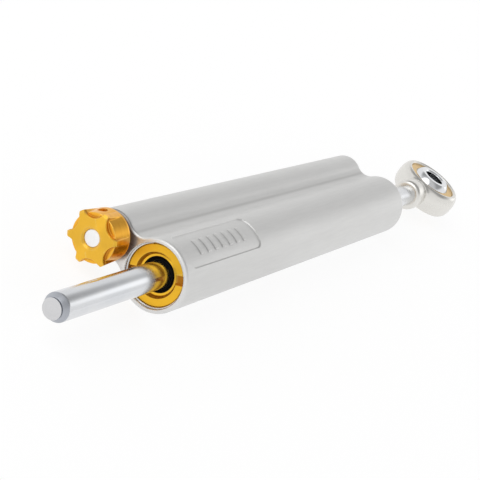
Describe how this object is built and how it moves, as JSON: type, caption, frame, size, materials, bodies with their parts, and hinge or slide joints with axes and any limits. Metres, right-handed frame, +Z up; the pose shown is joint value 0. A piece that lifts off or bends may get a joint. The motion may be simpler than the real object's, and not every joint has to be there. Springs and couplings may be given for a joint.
{
  "type": "motorcycle steering damper",
  "caption": "Linear steering damper: twin-lobe alloy body, chromed through rod, gold seal heads and click knob, spherical rod end for the fork or yoke bolt",
  "frame": {"origin": "on the rod axis at the middle of the barrel, where the clamp grips", "axes": "+X along the rod from the knob end to the rod end, +Y from the main barrel to the small lobe, +Z up along the bolt axis of the rod end"},
  "size_m": [0.3499, 0.0483, 0.027],
  "materials": {
    "blasted_alloy": "bead blasted and clear anodised, satin",
    "gold_anodised": "turned and gold anodised, glossy",
    "hard_chrome": "hard chromed and polished",
    "seal_rubber": "black nitrile",
    "bush_bronze": "bronze-backed bush",
    "spring_steel": "spring wire",
    "rod_end_steel": "satin forged steel, bright plated",
    "race_brass": "pressed brass race",
    "ball_chrome": "polished bearing ball",
    "plain_alloy": "as machined",
    "band_plastic": "filled low-friction plastic",
    "needle_brass": "turned brass",
    "spindle_steel": "turned and faced",
    "black_steel": "black oxide"
  },
  "bodies": {
    "housing": {"barrel_housing": "blasted_alloy", "front_seal_head": "gold_anodised", "rear_seal_head": "gold_anodised", "front_rod_wiper": "seal_rubber", "rear_rod_wiper": "seal_rubber", "front_rod_seal": "seal_rubber", "rear_rod_seal": "seal_rubber", "front_rod_bush": "bush_bronze", "rear_rod_bush": "bush_bronze", "front_head_o_ring": "seal_rubber", "rear_head_o_ring": "seal_rubber", "front_wire_ring": "spring_steel", "rear_wire_ring": "spring_steel", "adjuster_sleeve": "plain_alloy", "sleeve_o_ring": "seal_rubber", "detent_balls": "ball_chrome", "detent_springs": "spring_steel", "compensator_cap": "gold_anodised", "cap_o_ring": "seal_rubber", "cap_wire_ring": "spring_steel", "compensator_spring": "spring_steel"},
    "band": {"piston_band": "band_plastic"},
    "rod": {"piston_rod": "hard_chrome", "piston": "plain_alloy", "front_piston_clip": "spring_steel", "rear_piston_clip": "spring_steel", "rod_end_housing": "rod_end_steel", "rod_end_race": "race_brass"},
    "ball": {"rod_end_ball": "ball_chrome"},
    "knob": {"adjuster_knob": "gold_anodised", "knob_grub_screw": "black_steel", "adjuster_spindle": "spindle_steel", "spindle_o_ring": "seal_rubber"},
    "needle": {"metering_needle": "needle_brass"},
    "floating_piston": {"compensator_piston": "plain_alloy", "compensator_o_ring": "seal_rubber"}
  },
  "joints": [
    {"name": "rod_slide", "type": "slide", "parent": "housing", "child": "band", "axis": [1, 0, 0], "range_m": [-0.036, 0.054]},
    {"name": "rod_turn", "type": "hinge", "parent": "band", "child": "rod", "pos_m": [0, 0, 0], "axis": [1, 0, 0], "continuous": true},
    {"name": "ball_spin", "type": "hinge", "parent": "rod", "child": "ball", "pos_m": [0.1703, 0, 0], "axis": [0, 0, 1], "continuous": true},
    {"name": "knob_turn", "type": "hinge", "parent": "housing", "child": "knob", "pos_m": [-0.1025, 0.0218, 0], "axis": [1, 0, 0], "range_deg": [-330, 330]},
    {"name": "needle_travel", "type": "slide", "parent": "knob", "child": "needle", "axis": [1, 0, 0], "range_m": [-0.00092, 0.00092]},
    {"name": "floating_piston_slide", "type": "slide", "parent": "housing", "child": "floating_piston", "axis": [1, 0, 0], "range_m": [-0.004, 0.004], "stiffness_N_per_m": 800, "deforming": ["compensator_spring"]}
  ],
  "couplings": [
    {"joint": "needle_travel", "follows": "knob_turn", "m_per_rad": 0.00015915}
  ]
}
